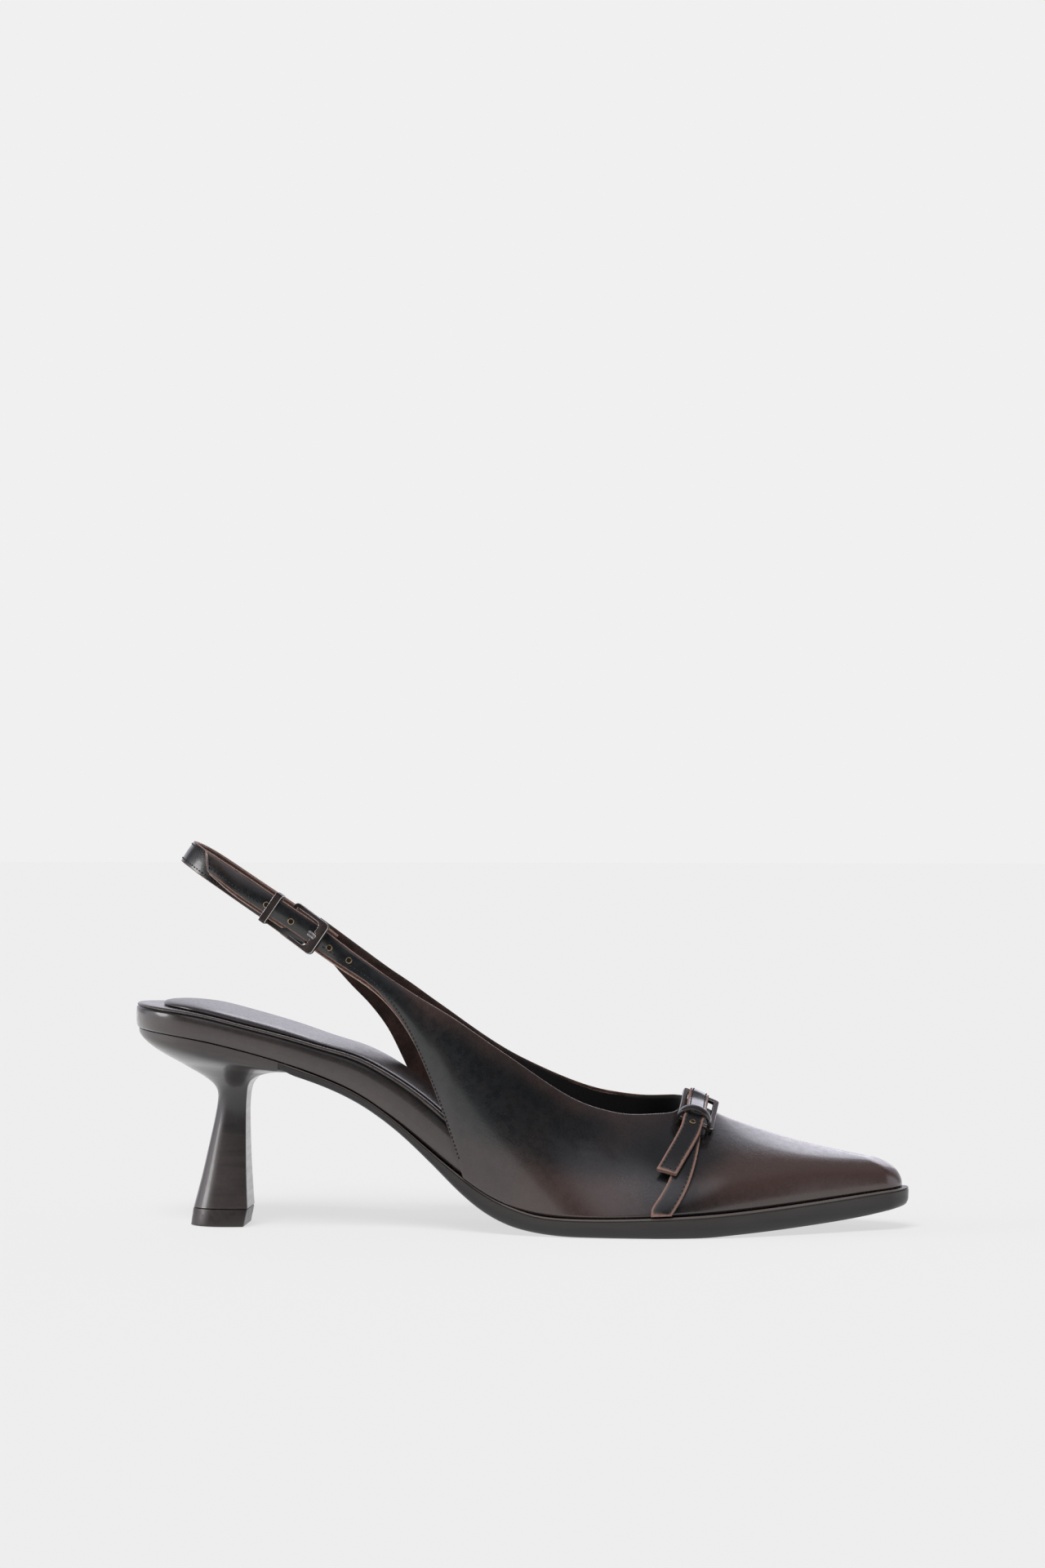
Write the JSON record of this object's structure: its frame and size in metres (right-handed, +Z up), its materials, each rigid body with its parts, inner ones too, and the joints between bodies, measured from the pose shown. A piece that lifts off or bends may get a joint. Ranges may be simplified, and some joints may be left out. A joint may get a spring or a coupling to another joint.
{
  "type": "slingback pump, right shoe",
  "caption": "Right slingback pump with a pointed toe, a flared mid heel, a buckled sling strap and a small buckled strap over the vamp.",
  "frame": {"origin": "centre of the bounding box, on the floor", "axes": "+X towards the toe, +Y to the medial side, +Z up; the buckles are on the lateral side, -Y"},
  "size_m": [0.25, 0.0727, 0.1244],
  "materials": {
    "upper_leather": "burnished gloss, fine grain",
    "band_leather": "burnished gloss",
    "sock_leather": "smooth satin",
    "heel_cover": "burnished satin, faint mottling",
    "strap_leather": "burnished gloss, raw tan edges",
    "sole": "satin",
    "top_piece": "satin",
    "buckle_metal": "antique, worn light edges"
  },
  "bodies": {
    "root": {"upper": "upper_leather", "outsole": "sole", "footbed": "band_leather", "sock": "sock_leather", "heel": "heel_cover", "heel_tip": "top_piece", "sling_strap": "strap_leather", "sling_buckle": "buckle_metal", "sling_prong": "buckle_metal", "sling_keeper": "buckle_metal", "vamp_base": "strap_leather", "vamp_strap": "strap_leather", "vamp_buckle": "buckle_metal", "vamp_prong": "buckle_metal", "vamp_keeper": "strap_leather"}
  },
  "joints": []
}
